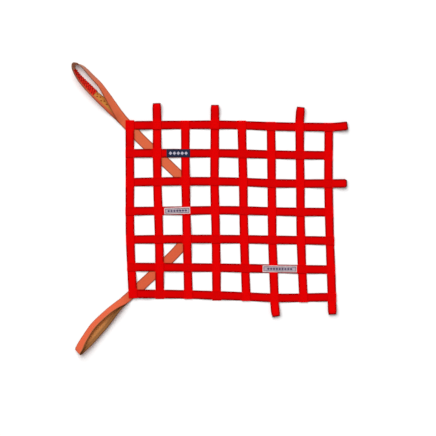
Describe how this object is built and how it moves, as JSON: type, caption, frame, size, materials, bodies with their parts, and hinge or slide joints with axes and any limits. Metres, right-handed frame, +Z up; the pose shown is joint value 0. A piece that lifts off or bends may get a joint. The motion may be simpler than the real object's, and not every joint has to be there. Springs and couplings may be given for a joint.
{
  "type": "racing window net",
  "caption": "Window net of woven red webbing with folded tabs on three sides and two orange corner loops, lying flat.",
  "frame": {"origin": "on the surface the net lies on, under the middle of its whole outline, tabs and loops included", "axes": "+Z up out of the net's face, +Y towards its three top tabs, +X towards its two side tabs"},
  "size_m": [0.7928, 0.8384, 0.0301],
  "materials": {
    "red_webbing": "woven, slight sheen",
    "orange_webbing": "ribbed, matt",
    "red_tape": "densely stitched",
    "dark_label": "smooth woven",
    "pale_label": "smooth woven"
  },
  "bodies": {
    "root": {"upright_1": "red_webbing", "upright_2": "red_webbing", "upright_3": "red_webbing", "upright_4": "red_webbing", "upright_5": "red_webbing", "upright_6": "red_webbing", "upright_7": "red_webbing", "upright_8": "red_webbing", "cross_1": "red_webbing", "cross_2": "red_webbing", "cross_3": "red_webbing", "cross_4": "red_webbing", "cross_5": "red_webbing", "cross_6": "red_webbing", "cross_7": "red_webbing", "loop_strap_upper": "orange_webbing", "loop_strap_lower": "orange_webbing", "loop_tape": "red_tape", "label_dark": "dark_label", "label_pale_left": "pale_label", "label_pale_right": "pale_label"}
  },
  "joints": []
}
